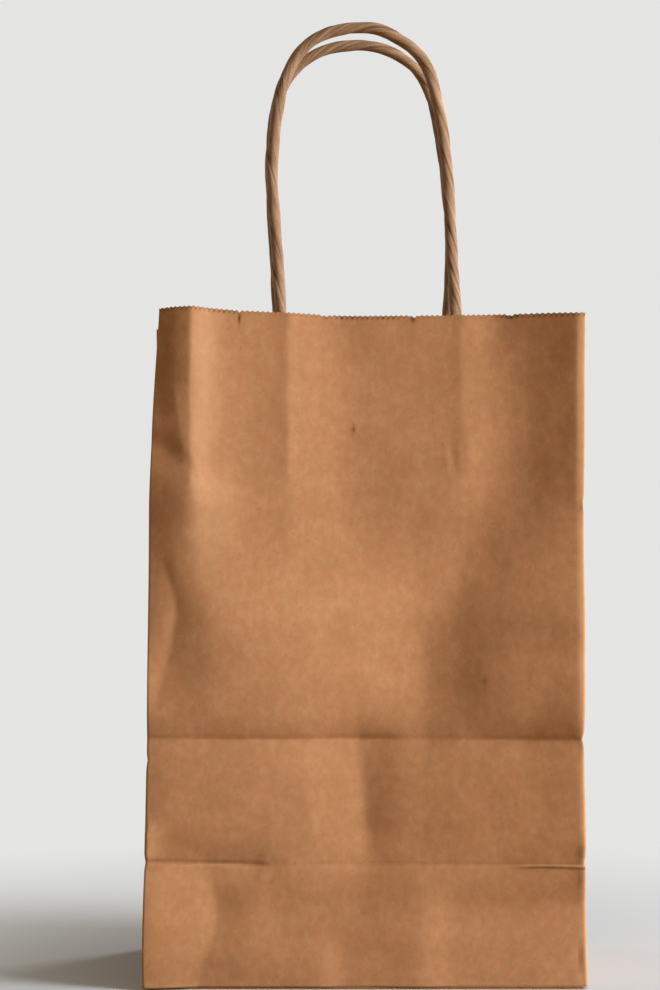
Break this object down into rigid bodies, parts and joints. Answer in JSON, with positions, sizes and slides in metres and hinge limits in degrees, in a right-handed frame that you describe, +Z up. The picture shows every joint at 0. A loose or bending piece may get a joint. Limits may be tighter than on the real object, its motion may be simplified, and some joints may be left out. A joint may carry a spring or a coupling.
{
  "type": "rope handle paper bag",
  "caption": "Plain brown kraft paper carrier bag with a block bottom, side gussets, a saw-toothed top edge and twisted paper cord handles glued inside its faces.",
  "frame": {"origin": "middle of the base, on the surface that the bag stands on", "axes": "+Z up out of the mouth; -Y out of the front face; X across the width"},
  "size_m": [0.14, 0.0802, 0.3101],
  "materials": {
    "kraft_paper": "matt brown kraft paper with faint ribs, fibres and handling creases",
    "patch_paper": "matt brown kraft paper, unglazed side",
    "paper_cord": "tightly twisted kraft paper with spiral grooves"
  },
  "bodies": {
    "root": {"bag": "kraft_paper", "front_handle": "paper_cord", "back_handle": "paper_cord", "front_patch_base": "patch_paper", "front_patch_cover": "patch_paper", "back_patch_base": "patch_paper", "back_patch_cover": "patch_paper"}
  },
  "joints": []
}
